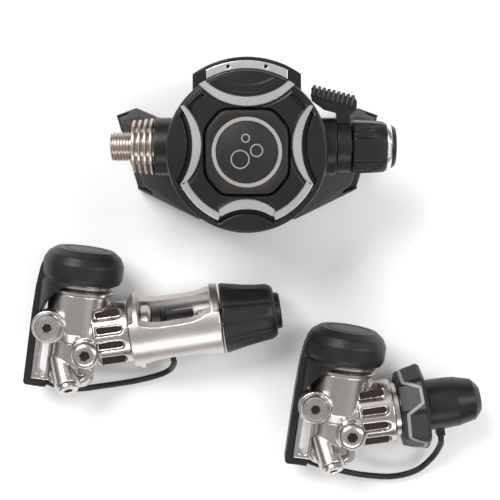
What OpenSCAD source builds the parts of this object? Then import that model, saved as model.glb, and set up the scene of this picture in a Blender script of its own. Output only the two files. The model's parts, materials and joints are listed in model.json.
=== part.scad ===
// Scuba regulator set lying on a flat surface: a second stage on its mouthpiece,
// a yoke first stage and a DIN first stage, each on its side with its ports up.

/* [Second stage] */
// Radius of the round front cover
cover_r = 38.8; // [30:0.1:48]
// Radius of the case behind the cover
case_r = 37.6; // [30:0.1:46]
// Height of the valve barrel above the centre of the cover
barrel_y = 2; // [0:0.5:6]
// Depth of the valve barrel behind the front of the cover
barrel_depth = 23.5; // [20:0.5:30]
// Outer radius of the valve barrel
barrel_r = 6.5; // [6:0.1:8]
// Radius of the hose inlet over its thread, nine sixteenths of an inch across
inlet_r = 7.14; // [6:0.01:8]
// Largest radius of the cooling fins
fin_r = 13.85; // [10:0.05:16]
// Radius of the breathing resistance knob
knob_r = 13.45; // [10:0.05:16]
// How far the cover leans towards the near side
stage_tilt = 7; // [0:0.5:12]
// How far the purge button can be pressed
purge_travel = 2; // [1:0.1:2]

/* [First stages] */
// Radius of the rubber boot over the pressure sensing end
boot_r = 21; // [17:0.1:24]
// Radius of the neck that carries the tank connection
neck_r = 16.6; // [14:0.1:18]
// Angle of the tank connection above square to the body
inlet_angle = 16; // [0:1:25]
// How far the pressure sensing end is raised
unit_tilt = 6; // [0:0.5:10]
// How far each first stage is turned clockwise, seen from above
unit_turn = 8; // [0:1:20]
// Length of the yoke's throat for the tank valve
throat = 37; // [34:0.5:40]
// Outer radius of the yoke's ring
yoke_r = 20.25; // [18:0.05:23]
// How far the yoke is turned about the tank connection
yoke_turn = 19; // [0:1:40]
// Radius of the yoke knob
yoke_knob_r = 18.5; // [14:0.1:22]
// Radius of the standard five eighths inch thread of the DIN connector
din_r = 11.45; // [11:0.01:12]
// Largest radius of the DIN handwheel
wheel_r = 22.9; // [18:0.1:26]
// Radius of the DIN dust cap
cap_r = 13.2; // [12.5:0.1:15]

/* [Tethers] */
// Thickness of the dust cap tethers
tether_d = 3.2; // [2:0.1:4]

/* [Hidden] */
$fn = 48;
stage_pos = [-2.42, 56.69, 80.51];
yoke_pos = [-93.52, -36.41, 21.8];
din_pos = [43.68, -77.91, 22.06];
retainer_end = 42;
yoke_end = 36.5 + throat;

// placing
module stage() translate(stage_pos) rotate([stage_tilt, 0, 0]) children();
module unit(pos, roll) translate(pos) rotate([unit_tilt, roll, -unit_turn]) children();
module at_yoke() unit(yoke_pos, 3.1) children();
module at_din() unit(din_pos, 1.3) children();
module inlet() rotate([0, 0, inlet_angle]) children();
module along_x(x = 0) translate([x, 0, 0]) rotate([0, 90, 0]) children();
module along_y(y = 0) translate([0, y, 0]) rotate([-90, 0, 0]) children();
module barrel_line() translate([0, barrel_y, -barrel_depth]) children();

// plain forms
module tube(ro, ri, h) difference() {
  cylinder(r = ro, h = h);
  translate([0, 0, -1]) cylinder(r = ri, h = h + 2);
}
module hexagon(across, h) cylinder(r = across / 2, h = h, $fn = 6);
module stadium(w, h) {
  for (s = [-1, 1]) translate([s * (w - h), 0]) circle(h);
  square([2 * (w - h), 2 * h], center = true);
}
module plug(r, h, socket) difference() {
  union() {
    translate([0, 0, -7]) cylinder(r = r * 0.62, h = 7.5);
    cylinder(r = r, h = h - 1);
    translate([0, 0, h - 1]) cylinder(r1 = r, r2 = r - 1, h = 1);
  }
  translate([0, 0, h - 3]) hexagon(socket, 4);
}

// round cords and springs: rings of points joined into one closed tube
function unit_vec(v) = v / norm(v);
function away(t) = abs(t[2]) < 0.9 ? [0, 0, 1] : [1, 0, 0];
function ring_pts(p, t, r, n) =
  let (a = unit_vec(cross(t, away(t))), b = cross(t, a))
  [for (k = [0:n - 1]) p + r * (cos(360 * k / n) * a + sin(360 * k / n) * b)];
function heading(ps, i) =
  unit_vec(ps[min(i + 1, len(ps) - 1)] - ps[max(i - 1, 0)]);
module cord(ps, r, n) {
  m = len(ps);
  polyhedron(
    points = [for (i = [0:m - 1]) each ring_pts(ps[i], heading(ps, i), r, n)],
    faces = concat(
      [[for (k = [0:n - 1]) k]],
      [for (i = [0:m - 2], k = [0:n - 1])
        [i * n + k, (i + 1) * n + k, (i + 1) * n + (k + 1) % n, i * n + (k + 1) % n]],
      [[for (k = [n - 1:-1:0]) (m - 1) * n + k]]));
}
function coil_pts(r, h, turns, per) =
  [for (i = [0:turns * per]) [r * cos(360 * i / per), r * sin(360 * i / per),
    h * i / (turns * per)]];
module coil(r, wire, h, turns) translate([0, 0, wire])
  cord(coil_pts(r, h - 2 * wire, turns, 12), wire, 6);

// a smooth line through a few points
function spline(a, b, c, d, t) = 0.5 * (2 * b + (c - a) * t
  + (2 * a - 5 * b + 4 * c - d) * t * t + (3 * b - a - 3 * c + d) * t * t * t);
function smooth_line(p, per) = let (n = len(p))
  concat([for (i = [0:n - 2], j = [0:per - 1])
    spline(p[max(i - 1, 0)], p[i], p[i + 1], p[min(i + 2, n - 1)], j / per)],
    [p[n - 1]]);

// second stage -----------------------------------------------------------
module octagon(g) polygon([[11.8 + g, 20 + g], [19.8 + g, 11 + g], [19.8 + g, -11 - g],
  [11.8 + g, -20 - g], [-11.8 - g, -20 - g], [-19.8 - g, -11 - g],
  [-19.8 - g, 11 + g], [-11.8 - g, 20 + g]]);
module mouth_way(z) translate([0, 11, -40]) rotate([23, 0, 0])
  translate([0, 0, z]) children();

module stage_case() color([0.05, 0.05, 0.05]) stage() difference() {
  union() {
    rotate_extrude() polygon([[0, -42], [19, -42], [29, -38.5], [35, -29],
      [case_r, -16], [case_r, -7.2], [0, -7.2]]);
    barrel_line() along_x(-45) cylinder(r = 14.2, h = 88.7);
    translate([0, -14, -44]) cylinder(r = 14.4, h = 8);
    intersection() {
      translate([0, 0, -32]) tube(45.2, 30, 23);
      translate([-26, 20, -32]) cube([52, 30, 23]);
    }
    mouth_way(-11) linear_extrude(11) stadium(15.5, 10.5);
  }
  rotate_extrude() polygon([[0, -39.5], [18, -39.5], [27, -36.5], [32.5, -28],
    [33, -15], [31, -15], [31, -13], [34.6, -13], [34.6, 0], [0, 0]]);
  barrel_line() along_x(-46) cylinder(r = barrel_r + 0.05, h = 92);
  barrel_line() along_x(-60) cylinder(r = 9, h = 17);
  mouth_way(-12) linear_extrude(16) stadium(12.5, 7.5);
  for (a = [0:60:300]) translate([0, -14, -45]) rotate([0, 0, a])
    translate([7.5, 0, 0]) cylinder(r = 2.8, h = 12);
  translate([0, -14, -45]) cylinder(r = 1.3, h = 12);
}

// bright bands that frame the lobes of the cover
module top_band(g) intersection() {
  difference() {
    translate([0, 51.4]) circle(29.8 + g);
    translate([0, 56.25]) circle(29.95 - g);
  }
  polygon([[0, 8], [24.4 + g, 34], [17 + g, 38], [-17 - g, 38], [-24.4 - g, 34]]);
}
module side_band(g) intersection() {
  difference() {
    translate([-47.2, 3.5]) circle(25.7 + g);
    translate([-59.4, 3.5]) circle(33.4 - g);
  }
  translate([-38, -15.4]) square([20, 38.6 + g]);
}
module corner_band(g) intersection() {
  difference() {
    circle(35 + g);
    circle(31.4 - g);
  }
  polygon([[0, 0], [-40, -17.4], [-40, -40], [-15, -36]]);
}
module low_band(g) intersection() {
  difference() {
    translate([0, -42.7]) circle(20.5 + g);
    translate([0, -49.8]) circle(22.8 - g);
  }
  translate([-14.4, -34]) square([28.8, 14]);
}
module bands(g) {
  top_band(g);
  low_band(g);
  for (s = [0, 1]) mirror([s, 0]) {
    side_band(g);
    corner_band(g);
  }
}

module stage_cover() color([0.04, 0.04, 0.04]) stage() difference() {
  union() {
    rotate_extrude() polygon([[29.5, -11.5], [34.5, -11.5], [34.5, -7.2],
      [38.2, -7.2], [cover_r, -6.4], [cover_r, -2.4], [37.2, -0.8], [0, -0.8],
      [0, -8], [29.5, -8]]);
    intersection() {
      translate([0, 0, -2]) linear_extrude(2) difference() {
        circle(37);
        octagon(3);
        for (a = [45, 135]) rotate([0, 0, a]) square([90, 2.4], center = true);
      }
      translate([0, 0, -4]) cylinder(r = 37, h = 5);
    }
  }
  translate([0, 0, -1.5]) linear_extrude(2) bands(0.05);
  translate([0, 0, -6]) linear_extrude(8) octagon(0.9);
  translate([0, 0, -9]) cylinder(r = 7.2, h = 9);
  for (a = [0:45:315]) rotate([0, 0, a]) translate([14.5, 0, -9])
    cylinder(r = 3.6, h = 9);
  for (a = [40, 140]) rotate([0, 0, a]) translate([32.5, 0, -1.8])
    cylinder(r = 2.6, h = 4);
}
module cover_trim() color([0.75, 0.75, 0.75]) stage()
  translate([0, 0, -1.5]) linear_extrude(1.9) bands(0);

module purge_button() color([0.05, 0.05, 0.05]) stage() difference() {
  union() {
    translate([0, 0, -3.2]) linear_extrude(3.4) octagon(0);
    translate([0, 0, -10.6]) cylinder(r = 6.8, h = 9);
  }
  translate([0, 0, -0.4]) cylinder(r = 16.8, h = 2);
  translate([0, 0, -12]) cylinder(r = 4.6, h = 7);
}
module purge_badge() color([0.6, 0.58, 0.56]) stage() {
  translate([0, 0, -0.4]) tube(16.7, 14.9, 1.2);
  translate([0, 0, -0.4]) cylinder(r = 14.9, h = 0.4);
  for (a = [90, 210, 330]) rotate([0, 0, a]) translate([6.2, 0, 0])
    tube(3.6, 2.2, 0.7);
}
module purge_spring() color([0.7, 0.7, 0.7]) stage()
  translate([0, 0, -5.9]) coil(9.6, 0.4, 2.6, 2);

module name_plate() color([0.7, 0.7, 0.7]) stage() translate([0, 0, -9])
  linear_extrude(1) difference() {
    intersection() {
      difference() {
        circle(43.4);
        circle(39.4);
      }
      translate([-19.4, 20]) square([38.8, 40]);
    }
    translate([-9, 40.4]) circle(0.9);
    translate([9, 40.4]) circle(0.9);
  }

module stage_diaphragm() color([0.5, 0.5, 0.5]) stage() rotate_extrude()
  polygon([[0, -12.2], [0, -11.2], [16, -11.2], [16, -12.2], [22, -12.2],
    [25, -10.6], [28, -12], [34.4, -12], [34.4, -13], [27.6, -13], [25, -11.6],
    [22.4, -13], [0, -13]]);

module demand_lever() color([0.75, 0.75, 0.75]) stage() barrel_line() {
  for (s = [-1, 1]) translate([0, s * 7.3, 0]) rotate([90, 0, 0])
    linear_extrude(1, center = true) union() {
      circle(1.9);
      polygon([[-1.6, 0], [1.6, -1], [15, 8.6], [15, 10], [13, 10]]);
    }
  translate([13, -7.8, 8.9]) cube([2, 15.6, 1.1]);
}
module valve_barrel() color([0.7, 0.68, 0.66]) stage() barrel_line() difference() {
  along_x(-45.2) cylinder(r = barrel_r, h = 95);
  along_x(-46) cylinder(r = 4.8, h = 97);
  translate([-4, -1.2, 3]) cube([8, 2.4, 5]);
}
module stage_poppet() color([0.3, 0.3, 0.3]) stage() barrel_line() {
  along_x(-15.5) cylinder(r = 3.2, h = 2.5);
  along_x(-13) cylinder(r = 4.2, h = 13);
}
module poppet_spring() color([0.7, 0.7, 0.7]) stage() barrel_line()
  along_x(1.1) coil(3.4, 0.45, 20.6, 6);
module valve_seat() color([0.8, 0.8, 0.8]) stage() barrel_line() along_x(-20)
  difference() {
    union() {
      cylinder(r = 4.7, h = 3);
      translate([0, 0, 3]) cylinder(r1 = 3.4, r2 = 2.2, h = 1.4);
    }
    translate([0, 0, -1]) cylinder(r = 1.5, h = 7);
  }
module heat_sink() color([0.66, 0.63, 0.58]) stage() barrel_line() difference() {
  union() {
    along_x(-56.1) cylinder(r = 8.85, h = 13);
    for (k = [0:3]) along_x(-55.95 + 2.9 * k)
      cylinder(r = [12.9, 13.1, 13.55, fin_r][k], h = 1.3);
  }
  along_x(-57) cylinder(r = 6.55, h = 15);
}
module hose_inlet() color([0.66, 0.63, 0.58]) stage() barrel_line() difference() {
  union() {
    along_x(-67) cylinder(r = inlet_r, h = 10.8);
    along_x(-57) cylinder(r = 6.5, h = 11.7);
    along_x(-46) cylinder(r = 4.7, h = 25.9);
  }
  along_x(-68) cylinder(r = 4, h = 12);
  along_x(-60) cylinder(r = 2.6, h = 41);
}

module venturi_lever() color([0.05, 0.05, 0.05]) stage() {
  barrel_line() along_x(44) tube(12.7, 7, 6.7);
  translate([0, 0, -27]) linear_extrude(8)
    polygon([[31.8, 31], [53, 25.6], [53.8, 24], [53.6, 20.5], [50.6, 17.4],
      [50.6, 12], [44, 12], [44, 18.4], [38, 20], [31.8, 24.6]]);
  for (k = [0:8]) translate([32.5 + 2.36 * k, 31.4 - 0.6 * k, -27.4]) rotate([0, 0, -13.6])
    translate([0, -4.9, 0]) cube([1.3, 5.6, 8.9]);
}
module adjust_knob() color([0.05, 0.05, 0.05]) stage() barrel_line() difference() {
  union() {
    along_x(51.5) cylinder(r1 = knob_r - 0.6, r2 = knob_r, h = 5);
    along_x(56.5) cylinder(r1 = knob_r, r2 = knob_r - 1, h = 11.8);
  }
  for (a = [11:90:359], b = [-14, 0, 14]) rotate([a + b, 0, 0])
    translate([53.4, 0, knob_r + 0.4]) along_x() cylinder(r = 1.5, h = 9);
  along_x(51) cylinder(r = 7, h = 7);
}
module knob_ring() color([0.75, 0.75, 0.75]) stage() barrel_line()
  along_x(68.3) tube(11.9, 8.2, 2.2);
module knob_cap() color([0.05, 0.05, 0.05]) stage() barrel_line() {
  along_x(68.3) cylinder(r = 8.1, h = 3.4);
  along_x(70.5) cylinder(r1 = 10.6, r2 = 8.6, h = 2.8);
}
module adjust_screw() color([0.7, 0.68, 0.66]) stage() barrel_line() {
  along_x(22) cylinder(r = 4.4, h = 4);
  along_x(26) cylinder(r = 2.6, h = 31.8);
}

function tee_side(s, d) = [[0, -6 - d], [s * 43.6, 14.5 - d], [s * (59.6 - 0.3 * d), 21.2 - d],
  [s * (70.5 - d), 17.2 - 0.6 * d], [s * (59.2 - d), -22.3 + 0.8 * d],
  [s * (34.3 - 0.2 * d), -29 + d], [0, -30 + d]];
module wing(s, g) hull() {
  translate([s < 0 ? -25 + g : 0, -36 + g, -59 + g])
    cube([25 - g, 31 - 2 * g, 15.8 - 2 * g]);
  translate([g > 0 ? s * 4.5 : 0, 0, -77.3 + g]) linear_extrude(6) polygon(tee_side(s, g));
  translate([g > 0 ? s * 4.5 : 0, 0, -66.5 - g]) linear_extrude(4) polygon(tee_side(s, g + 4.5));
}
module exhaust_tee() color([0.14, 0.14, 0.14]) stage() difference() {
  union() {
    wing(1, 0);
    wing(-1, 0);
  }
  wing(1, 2.4);
  wing(-1, 2.4);
  translate([0, -14, -50]) cylinder(r = 14.5, h = 10);
  translate([-4, -31.4, -57]) cube([8, 27, 11.8]);
}
module exhaust_valve() color([0.2, 0.2, 0.2]) stage() translate([0, -14, 0]) {
  translate([0, 0, -45.2]) cylinder(r = 11.5, h = 1.1);
  translate([0, 0, -44.6]) cylinder(r = 1.2, h = 6.6);
}
module mouthpiece() color([0.13, 0.13, 0.13]) stage() difference() {
  union() {
    mouth_way(-37) linear_extrude(29.6) stadium(18, 13);
    mouth_way(-39.4) linear_extrude(4) stadium(28.6, 16);
    mouth_way(-42.5) for (s = [-1, 1]) translate([s * 21 - 4, -9, 0]) cube([8, 18, 5]);
  }
  mouth_way(-31) linear_extrude(31) stadium(15.55, 10.55);
  mouth_way(-50) linear_extrude(50) stadium(13, 8.5);
}
module mouthpiece_clip() color([0.08, 0.08, 0.08]) stage() {
  mouth_way(-11) linear_extrude(4) difference() {
    stadium(19.3, 14.3);
    stadium(18.05, 13.05);
  }
  mouth_way(-11) translate([-4, 13.5, 0]) cube([8, 3.4, 4]);
}

// first stage, both connections ---------------------------------------------
plug_a = [8.1, -4.1];
plug_b = [-5.2, -9.8];
module diagonal() translate([plug_b[0], plug_b[1], 4]) rotate([0, 0, 26])
  rotate([56, 0, 0]) children();
module rear(x, y) translate([x, y, -10]) rotate([180, 0, 0]) children();

module first_body() color([0.72, 0.7, 0.68]) difference() {
  union() {
    along_y(-20) cylinder(r = 12.6, h = 22);
    along_y(-23.5) cylinder(r1 = 10.6, r2 = 12.6, h = 3.6);
    along_y(0) cylinder(r1 = 14, r2 = 16, h = 5);
    along_y(5) cylinder(r = 16, h = 20.3);
    translate([-19.3, -22.6, -6.5]) cube([14, 28, 13]);
    translate([-15.2, 2, -6.5]) cube([8, 14, 13]);
    inlet() along_x(2) cylinder(r = 15, h = 11);
    inlet() along_x(12) cylinder(r = neck_r, h = 18.4);
    translate([-12.6, 7.5, 5.6]) cylinder(r = 8.5, h = 10.8);
    translate([-12.6, 7.5, 0]) cylinder(r = 6.4, h = 6);
    translate([plug_a[0], plug_a[1], 0]) cylinder(r = 7.6, h = 16.7);
    diagonal() cylinder(r = 6.6, h = 17);
    translate([6, -15.6, 0]) cylinder(r = 6.2, h = 11);
    rear(-8, 12) cylinder(r = 7.4, h = 6);
    rear(8, 12) cylinder(r = 7.4, h = 6);
    rear(0, -10) cylinder(r = 7.4, h = 4);
  }
  translate([-14.4, -20.6, -9]) translate([-2.4, 2.4, 0]) cube([4.8, 15.4, 20]);
  for (y = [-18.2, -2.8]) translate([-14.4, y, -9]) cylinder(r = 2.4, h = 20);
  along_y(9) cylinder(r = 12.4, h = 20);
  along_y(-14) cylinder(r = 4, h = 30);
  along_y(-24) cylinder(r = 7.3, h = 5.5);
  along_y(-20) cylinder(r = 4.6, h = 8);
  inlet() along_x(0) cylinder(r = 3.2, h = 32);
  inlet() along_x(24) cylinder(r = 8.05, h = 8);
  inlet() for (y = [-12, -3.6, 4.4, 12]) translate([0, y, 0]) {
    translate([13, -2.4, sqrt(neck_r * neck_r - y * y) - 2.8]) cube([12, 4.8, 6]);
    translate([25, 0, sqrt(neck_r * neck_r - y * y) - 2.8]) cylinder(r = 2.4, h = 6);
    translate([13, -2.4, -sqrt(neck_r * neck_r - y * y) - 3.4]) cube([12, 4.8, 5]);
  }
  translate([-12.6, 7.5, 8]) cylinder(r = 4.7, h = 10);
  translate([plug_a[0], plug_a[1], 7.5]) cylinder(r = 4.7, h = 10);
  diagonal() translate([0, 0, 9]) cylinder(r = 3.5, h = 10);
  translate([6, -15.6, 5]) cylinder(r = 3, h = 8);
  for (x = [-8, 8]) rear(x, 12) translate([0, 0, -1.5]) cylinder(r = 4.7, h = 9);
  rear(0, -10) translate([0, 0, -4]) cylinder(r = 4.7, h = 9);
}
module first_fins() color([0.72, 0.7, 0.68]) difference() {
  union() {
    along_y(25.4) cylinder(r = 17.3, h = 1.9);
    along_y(25.4) cylinder(r = 15.2, h = 6);
    along_y(28.8) cylinder(r = 17.3, h = 1.9);
    along_y(31) cylinder(r = 17.3, h = 14);
  }
  along_y(24) cylinder(r = 12.4, h = 18);
  along_y(40) cylinder(r = 6, h = 8);
}
// the rubber wraps the left side of the body as a spine and ends in a tail under it
module first_boot() color([0.05, 0.05, 0.05]) difference() {
  union() {
    along_y(31.2) cylinder(r1 = boot_r - 1.4, r2 = boot_r, h = 3);
    along_y(34.2) cylinder(r = boot_r, h = 7);
    along_y(41.2) cylinder(r1 = boot_r, r2 = boot_r - 2, h = 4);
    along_y(45.2) cylinder(r1 = boot_r - 2, r2 = boot_r - 6, h = 3);
    intersection() {
      along_y(6) cylinder(r = boot_r, h = 25.4);
      translate([0, 0, -25]) linear_extrude(50) polygon([[-24, 31.4], [-3, 31.4],
        [-9, 28], [-13.4, 23], [-17, 17.6], [-19.3, 10], [-19.3, 6], [-24, 6]]);
    }
    translate([0, 0, -5.5]) linear_extrude(11) polygon([[-21.4, -26.6],
      [-22.7, -26.1], [-23.2, -24.8], [-23.2, 12], [-22.8, 26], [-21.6, 37],
      [-19.6, 43], [-16, 44], [-16, 31.6], [-19.35, 31.4],
      [-19.35, -22.65], [-11.2, -22.65], [-11.2, -26.6]]);
  }
  along_y(5) cylinder(r = 17.4, h = 40.05);
  along_y(47.4) tube(11.5, 10.3, 2);
  translate([-12.6, 7.5, 5.5]) cylinder(r = 8.7, h = 20);
}
module first_diaphragm() color([0.1, 0.1, 0.1]) along_y(24) {
  cylinder(r = 12.3, h = 1.2);
  cylinder(r = 7, h = 1.8);
}
module first_spring() color([0.7, 0.7, 0.7]) along_y(26) coil(8, 1.2, 14, 5);
module first_valve() color([0.75, 0.75, 0.75]) {
  along_y(22.2) cylinder(r = 7, h = 1.4);
  along_y(2) cylinder(r = 1.3, h = 20.4);
  along_y(-11) cylinder(r = 3.4, h = 13);
}
module first_base_plug() color([0.72, 0.7, 0.68]) difference() {
  union() {
    along_y(-24.2) cylinder(r = 7.2, h = 5.6);
    along_y(-19) cylinder(r = 4.5, h = 6);
  }
  along_y(-25) hexagon(6.4, 3.4);
}
module high_plug() color([0.72, 0.7, 0.68]) translate([-12.6, 7.5, 16.5])
  plug(7.3, 3.6, 4.9);
module low_plug_a() color([0.72, 0.7, 0.68]) translate([plug_a[0], plug_a[1], 16.8]) {
  difference() {
    union() {
      translate([0, 0, -7]) cylinder(r = 4.5, h = 7.5);
      cylinder(r = 7.2, h = 1.6);
      translate([0, 0, 1.6]) cylinder(r1 = 7.2, r2 = 4.2, h = 2.2);
    }
    translate([0, 0, 1]) hexagon(5.4, 4);
  }
}
module low_plug_b() color([0.72, 0.7, 0.68]) diagonal() translate([0, 0, 17.1])
  plug(5.4, 2.6, 5);
module rear_plugs() color([0.72, 0.7, 0.68]) {
  for (x = [-8, 8]) rear(x, 12) translate([0, 0, 6.1]) plug(6.6, 6, 5);
  rear(0, -10) translate([0, 0, 4.1]) plug(6.6, 5, 5);
}

// yoke connection -------------------------------------------------------------
module yoke_retainer() color([0.78, 0.76, 0.74]) inlet() difference() {
  union() {
    along_x(24.5) cylinder(r = 8, h = 12.4);
    along_x(36.6) cylinder(r = 12.5, h = 4);
    along_x(40.6) cylinder(r1 = 12.5, r2 = 10.5, h = 1.4);
  }
  along_x(23) cylinder(r = 3.2, h = 20);
  along_x(retainer_end - 0.8) tube(7.4, 5.4, 2);
}
// side view of the yoke's frame: a ring at each end and two arms that narrow between them
function arm_w(x) = 9.5 + min(3, 4.5 * pow((x - 53.5) / 20, 4));
module arm_side() polygon([
  for (i = [0:20]) [30.6 + (yoke_end - 26.2) * i / 20, -arm_w(30.6 + (yoke_end - 26.2) * i / 20)],
  for (i = [20:-1:0]) [30.6 + (yoke_end - 26.2) * i / 20, arm_w(30.6 + (yoke_end - 26.2) * i / 20)]]);
module yoke_clamp() color([0.72, 0.69, 0.67]) inlet() rotate([yoke_turn, 0, 0]) difference() {
  union() {
    along_x(30.7) cylinder(r1 = 17.4, r2 = yoke_r, h = 2.8);
    along_x(33.5) cylinder(r = yoke_r, h = 2.9);
    along_x(yoke_end) cylinder(r1 = yoke_r - 1, r2 = 18.7, h = 4.4);
    intersection() {
      translate([0, 0, -30]) linear_extrude(60) arm_side();
      difference() {
        along_x(30.7) cylinder(r1 = yoke_r, r2 = yoke_r - 1, h = yoke_end - 26.4);
        along_x(30) cylinder(r = 14.8, h = 80);
      }
    }
  }
  along_x(30) cylinder(r = 8.1, h = 10);
  along_x(yoke_end - 1) cylinder(r = 6.35, h = 8);
}
module yoke_screw() color([0.72, 0.7, 0.68]) inlet() difference() {
  union() {
    along_x(64.4) cylinder(r1 = 3.5, r2 = 6, h = 2.4);
    along_x(66.8) cylinder(r = 6, h = 24);
  }
  along_x(92) translate([0, 0, -8]) cylinder(r = 3.2, h = 9);
}
module yoke_knob() color([0.05, 0.05, 0.05]) inlet() difference() {
  union() {
    along_x(78.9) cylinder(r1 = yoke_knob_r - 1, r2 = yoke_knob_r, h = 1);
    along_x(79.9) cylinder(r1 = yoke_knob_r, r2 = yoke_knob_r - 3.4, h = 23);
    along_x(102.9) cylinder(r1 = yoke_knob_r - 3.4, r2 = yoke_knob_r - 6, h = 4);
    along_x(106.9) cylinder(r = 9.6, h = 2.8);
  }
  for (a = [30:60:359]) rotate([a, 0, 0]) translate([86, 0, yoke_knob_r + 17.2])
    along_x() cylinder(r = 20, h = 16);
  for (a = [0:60:359]) rotate([a, 0, 0]) translate([103.9, 0, yoke_knob_r - 2.6])
    along_x() cylinder(r = 2, h = 4);
  along_x(77) cylinder(r = 6.1, h = 14);
}
module yoke_cap() color([0.06, 0.06, 0.06]) inlet() {
  along_x(42.2) cylinder(r = 10.4, h = 5);
  along_x(47.2) cylinder(r1 = 10.4, r2 = 9, h = 2);
  along_x(49.2) cylinder(r = 7.4, h = 14.8);
  translate([48, -16, -3]) cube([4, 9, 6]);
}

// DIN connection ---------------------------------------------------------------
module din_stub() color([0.76, 0.74, 0.72]) inlet() difference() {
  union() {
    along_x(24.5) cylinder(r = 8, h = 24);
    along_x(30.6) cylinder(r = 14, h = 2.8);
    along_x(48.2) cylinder(r = din_r, h = 14.8);
    along_x(63) cylinder(r = 8.6, h = 3);
  }
  along_x(23) cylinder(r = 3.2, h = 50);
}
module din_wheel() color([0.05, 0.05, 0.05]) inlet() difference() {
  intersection() {
    union() {
      along_x(33.7) cylinder(r1 = 19.6, r2 = wheel_r - 0.6, h = 12.2);
      along_x(45.9) cylinder(r1 = wheel_r - 0.6, r2 = wheel_r - 1.8, h = 1.6);
    }
    rotate([15, 0, 0]) along_x(33) rotate([0, 0, 22.5])
      cylinder(r1 = 20.2, r2 = wheel_r + 0.6, h = 15, $fn = 8);
  }
  along_x(32) cylinder(r = 8.4, h = 18);
  along_x(42) cylinder(r = 14.2, h = 7);
}
module din_cap() color([0.05, 0.05, 0.05]) inlet() difference() {
  union() {
    along_x(47.9) cylinder(r = cap_r, h = 10);
    along_x(57.9) cylinder(r1 = cap_r, r2 = cap_r - 0.3, h = 6);
    along_x(63.9) cylinder(r1 = cap_r - 0.3, r2 = cap_r - 2.4, h = 9);
    along_x(72.9) cylinder(r1 = cap_r - 2.4, r2 = cap_r - 5.4, h = 2.8);
    along_x(75.7) cylinder(r = 7, h = 0.8);
    translate([52, -17, -3]) cube([4.4, 9, 6]);
  }
  along_x(47) cylinder(r = din_r + 0.35, h = 16.4);
  along_x(47) cylinder(r = 9.2, h = 20.6);
}

// tethers, in the frame of each first stage
yoke_line = smooth_line([[-11, -24.95, 0], [-10.2, -25.02, -0.05], [-8.2, -25.85, -1.1],
  [-3, -27.5, -3.6], [6, -28, -7.4], [18, -25.8, -11.8], [34, -21.4, -13.6],
  [46, -16.4, -12.8], [52, -11.6, -9], [53.7, -6.6, -2.8], [53.02, -3.5, -0.06],
  [52.57, -1.97, 0]], 3);
din_line = smooth_line([[-11, -24.95, 0], [-10.2, -25.02, -0.05], [-8.2, -25.85, -1.1],
  [-3, -27.6, -3.6], [7, -30, -7.6], [22, -32, -11.8], [38, -31.2, -13.8], [50, -26, -13.6],
  [56.6, -17, -10.6], [58.2, -8, -3.6], [57.36, -3.42, -0.06], [56.91, -1.84, 0]], 3);
module yoke_tether() color([0.05, 0.05, 0.05])
  cord(yoke_line, tether_d / 2, 8);
module din_tether() color([0.05, 0.05, 0.05])
  cord(din_line, tether_d / 2, 8);

stage_case();
stage_cover();
cover_trim();
purge_button();
purge_badge();
purge_spring();
name_plate();
stage_diaphragm();
demand_lever();
valve_barrel();
stage_poppet();
poppet_spring();
valve_seat();
heat_sink();
hose_inlet();
venturi_lever();
adjust_knob();
knob_ring();
knob_cap();
adjust_screw();
exhaust_tee();
exhaust_valve();
mouthpiece();
mouthpiece_clip();
at_yoke() first_body();  // yoke_body
at_yoke() first_boot();  // yoke_boot
at_yoke() first_fins();  // yoke_fins
at_yoke() first_diaphragm();  // yoke_diaphragm
at_yoke() first_spring();  // yoke_spring
at_yoke() first_valve();  // yoke_valve
at_yoke() first_base_plug();  // yoke_base_plug
at_yoke() high_plug();  // yoke_high_plug
at_yoke() low_plug_a();  // yoke_low_plug_a
at_yoke() low_plug_b();  // yoke_low_plug_b
at_yoke() rear_plugs();  // yoke_rear_plugs
at_yoke() yoke_retainer();
at_yoke() yoke_clamp();
at_yoke() yoke_screw();
at_yoke() yoke_knob();
at_yoke() yoke_cap();
at_yoke() yoke_tether();
at_din() first_body();  // din_body
at_din() first_boot();  // din_boot
at_din() first_fins();  // din_fins
at_din() first_diaphragm();  // din_diaphragm
at_din() first_spring();  // din_spring
at_din() first_valve();  // din_valve
at_din() first_base_plug();  // din_base_plug
at_din() high_plug();  // din_high_plug
at_din() low_plug_a();  // din_low_plug_a
at_din() low_plug_b();  // din_low_plug_b
at_din() rear_plugs();  // din_rear_plugs
at_din() din_stub();
at_din() din_wheel();
at_din() din_cap();
at_din() din_tether();
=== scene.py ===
import json
import math

import bmesh
import bpy
import numpy as np
from mathutils import Matrix, Vector


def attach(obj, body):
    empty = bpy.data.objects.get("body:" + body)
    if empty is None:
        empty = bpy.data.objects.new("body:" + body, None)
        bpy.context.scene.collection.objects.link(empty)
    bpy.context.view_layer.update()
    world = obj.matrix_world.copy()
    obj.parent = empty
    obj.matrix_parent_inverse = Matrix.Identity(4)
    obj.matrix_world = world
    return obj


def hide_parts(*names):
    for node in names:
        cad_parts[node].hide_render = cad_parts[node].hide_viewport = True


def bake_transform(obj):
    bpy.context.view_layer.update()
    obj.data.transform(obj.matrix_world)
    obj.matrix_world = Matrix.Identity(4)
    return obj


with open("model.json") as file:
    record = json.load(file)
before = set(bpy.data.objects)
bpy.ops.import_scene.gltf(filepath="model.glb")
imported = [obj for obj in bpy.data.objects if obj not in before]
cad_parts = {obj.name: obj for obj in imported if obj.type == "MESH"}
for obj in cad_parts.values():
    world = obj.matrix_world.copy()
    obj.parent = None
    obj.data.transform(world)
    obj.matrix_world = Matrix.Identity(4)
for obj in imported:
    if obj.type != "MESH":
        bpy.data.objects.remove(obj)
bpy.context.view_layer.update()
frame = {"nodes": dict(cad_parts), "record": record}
nodes = frame["nodes"]
MM = 0.001

# where each unit lies in the CAD, in millimetres and degrees
STAGE = Matrix.Translation((-2.42, 56.69, 80.51)) @ Matrix.Rotation(math.radians(7), 4, "X")


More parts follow.
